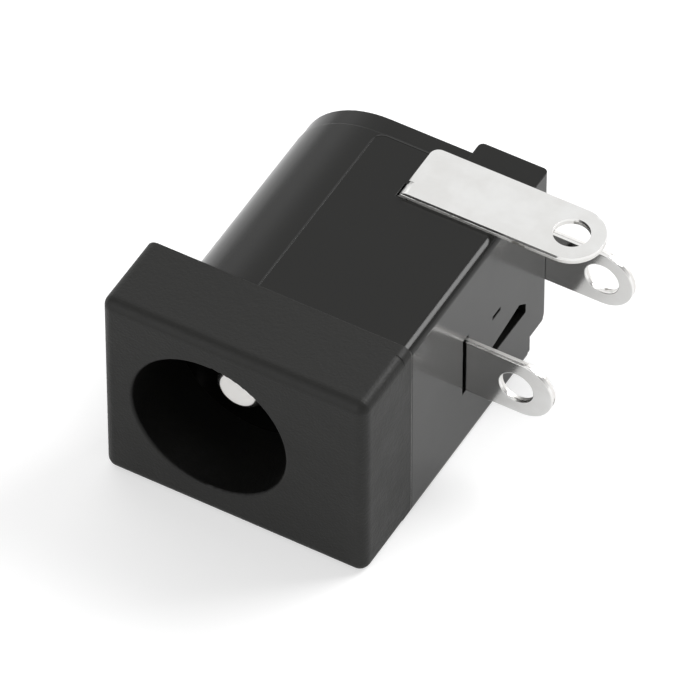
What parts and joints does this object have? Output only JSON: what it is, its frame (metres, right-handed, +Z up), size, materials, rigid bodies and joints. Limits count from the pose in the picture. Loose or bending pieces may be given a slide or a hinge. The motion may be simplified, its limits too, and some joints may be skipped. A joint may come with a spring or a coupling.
{
  "type": "dc barrel jack",
  "caption": "Board power jack: one-piece black housing with a flange and a round socket, a riveted centre pin, and flat solder lugs with holes.",
  "frame": {"origin": "on the socket axis at the flange's front face", "axes": "+Y along the socket towards the rear, +X towards the circuit board, +Z up through the side that carries the switch lug; the jack lies on its plain side"},
  "size_m": [0.0145, 0.0142, 0.0093],
  "materials": {
    "housing_plastic": "black moulded plastic, fine matt grain on the flange and satin on the body",
    "plated_pin": "turned brass, plated bright",
    "tinned_strip": "stamped brass strip, bright tin plating"
  },
  "bodies": {
    "root": {"housing": "housing_plastic", "centre_pin": "plated_pin", "rear_terminal": "tinned_strip", "sleeve_contact": "tinned_strip", "switch_contact": "tinned_strip"}
  },
  "joints": []
}
